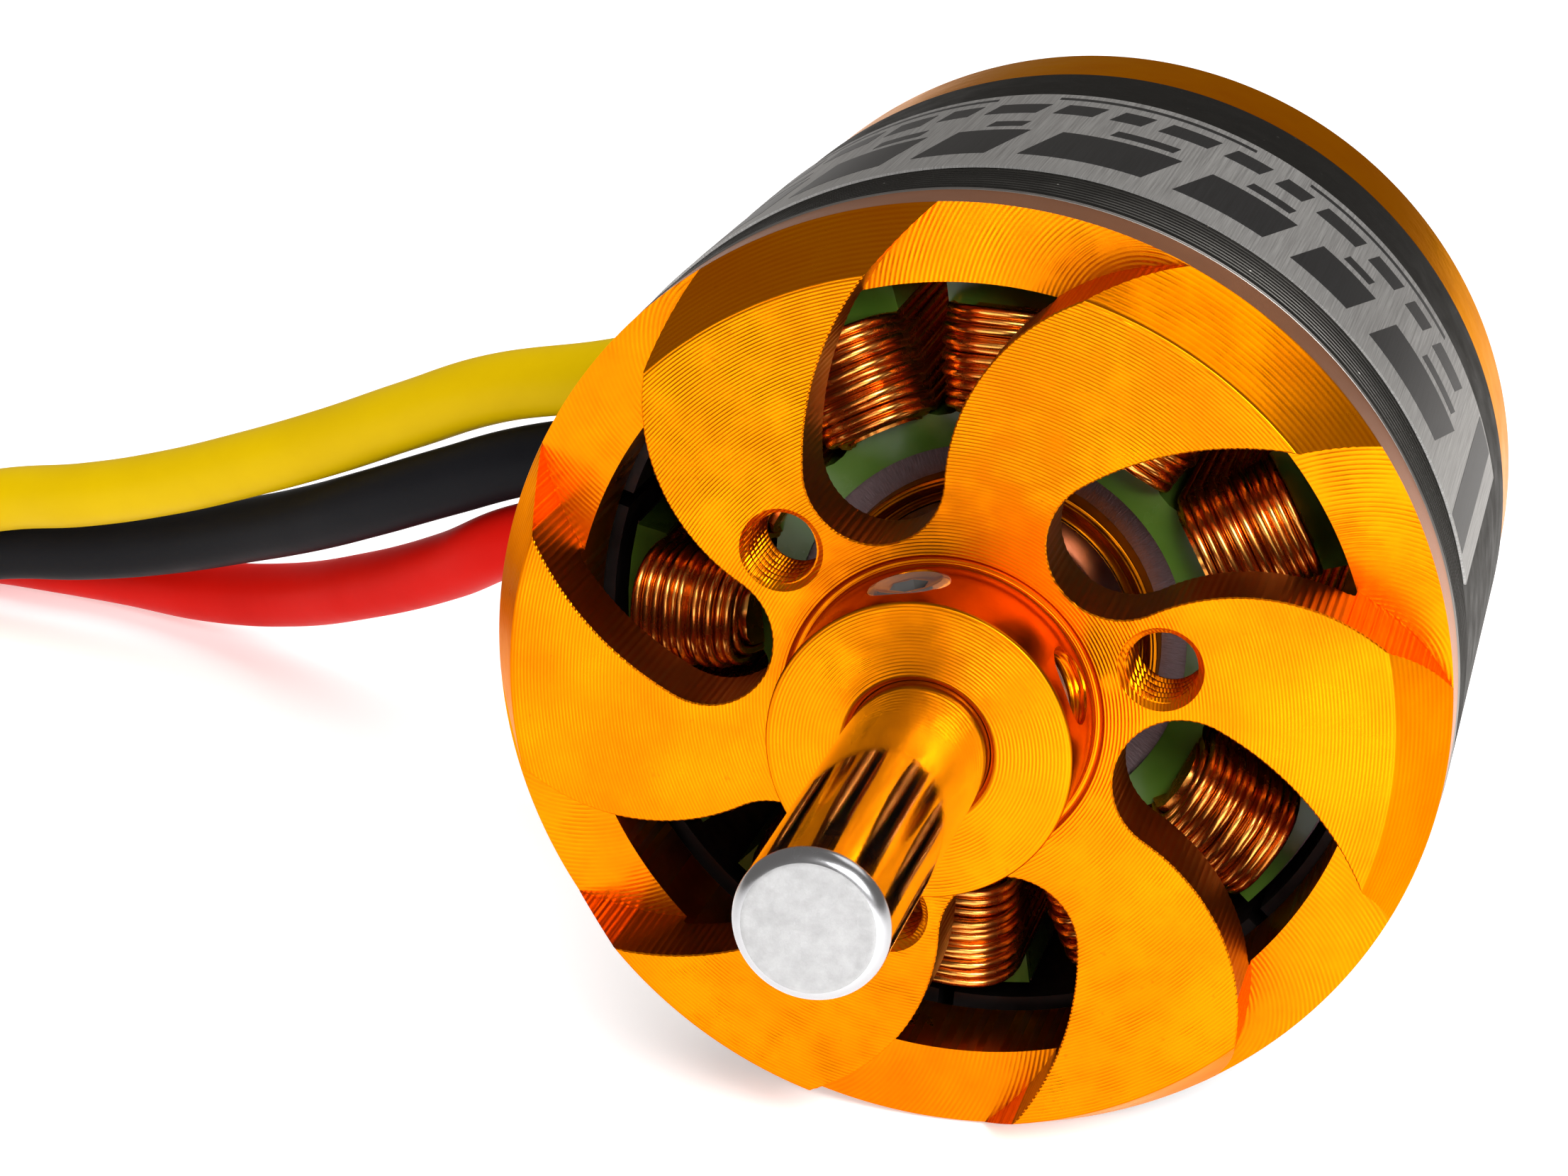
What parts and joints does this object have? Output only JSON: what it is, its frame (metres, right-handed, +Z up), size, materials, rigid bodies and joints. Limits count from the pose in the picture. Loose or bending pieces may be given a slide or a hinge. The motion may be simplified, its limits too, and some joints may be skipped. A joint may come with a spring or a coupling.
{
  "type": "brushless outrunner motor",
  "caption": "Outrunner motor with a swirl-slotted gold bell, black rotating can, fixed wound stator on a rear mounting plate, plain steel shaft and three silicone leads with bullet plugs.",
  "frame": {"origin": "centre of the rear mounting face, on the shaft axis", "axes": "-Y along the shaft towards its free end, +Z up as the motor lies on its side, leads leave towards -X"},
  "size_m": [0.124, 0.0927, 0.0352],
  "materials": {
    "gold_anodised": "anodised, finely turned",
    "laminations": "satin",
    "green_epoxy": "glossy epoxy coating",
    "copper_wire": "enamelled copper",
    "bearing_steel": "ground",
    "cage_brass": "satin",
    "black_can": "satin black",
    "magnet_plating": "nickel plated",
    "grub_steel": "bright steel",
    "silver_foil": "brushed foil",
    "spring_steel": "oiled",
    "polished_steel": "polished",
    "yellow_silicone": "smooth",
    "black_silicone": "smooth",
    "red_silicone": "smooth",
    "yellow_shrink": "heat-shrink",
    "black_shrink": "heat-shrink",
    "red_shrink": "heat-shrink",
    "gold_plate": "gold plated"
  },
  "bodies": {
    "stator": {"motor_base": "gold_anodised", "stator_core": "laminations", "insulation_front": "green_epoxy", "insulation_rear": "green_epoxy", "winding_a": "copper_wire", "winding_b": "copper_wire", "winding_c": "copper_wire", "front_outer_race": "bearing_steel", "front_shields": "bearing_steel", "rear_outer_race": "bearing_steel", "rear_shields": "bearing_steel", "solder_sleeves": "black_shrink", "lead_yellow": "yellow_silicone", "lead_black": "black_silicone", "lead_red": "red_silicone", "heatshrink_yellow": "yellow_shrink", "heatshrink_black": "black_shrink", "heatshrink_red": "red_shrink", "bullet_yellow": "gold_plate", "bullet_black": "gold_plate", "bullet_red": "gold_plate"},
    "rotor": {"front_bell": "gold_anodised", "shaft": "polished_steel", "flux_can": "black_can", "rear_ring": "gold_anodised", "magnets": "magnet_plating", "grub_screws": "grub_steel", "label_band": "silver_foil", "thrust_washers": "bearing_steel", "e_clip": "spring_steel", "front_inner_race": "bearing_steel", "rear_inner_race": "bearing_steel"},
    "front_ball_set": {"front_balls": "bearing_steel", "front_cage": "cage_brass"},
    "rear_ball_set": {"rear_balls": "bearing_steel", "rear_cage": "cage_brass"}
  },
  "joints": [
    {"name": "rotor_spin", "type": "hinge", "parent": "stator", "child": "rotor", "pos_m": [0, 0, 0], "axis": [0, -1, 0], "continuous": true},
    {"name": "front_ball_spin", "type": "hinge", "parent": "stator", "child": "front_ball_set", "pos_m": [0, 0, 0], "axis": [0, -1, 0], "continuous": true},
    {"name": "rear_ball_spin", "type": "hinge", "parent": "stator", "child": "rear_ball_set", "pos_m": [0, 0, 0], "axis": [0, -1, 0], "continuous": true}
  ],
  "couplings": [
    {"joint": "front_ball_spin", "follows": "rotor_spin", "ratio": 0.386},
    {"joint": "rear_ball_spin", "follows": "rotor_spin", "ratio": 0.386}
  ]
}
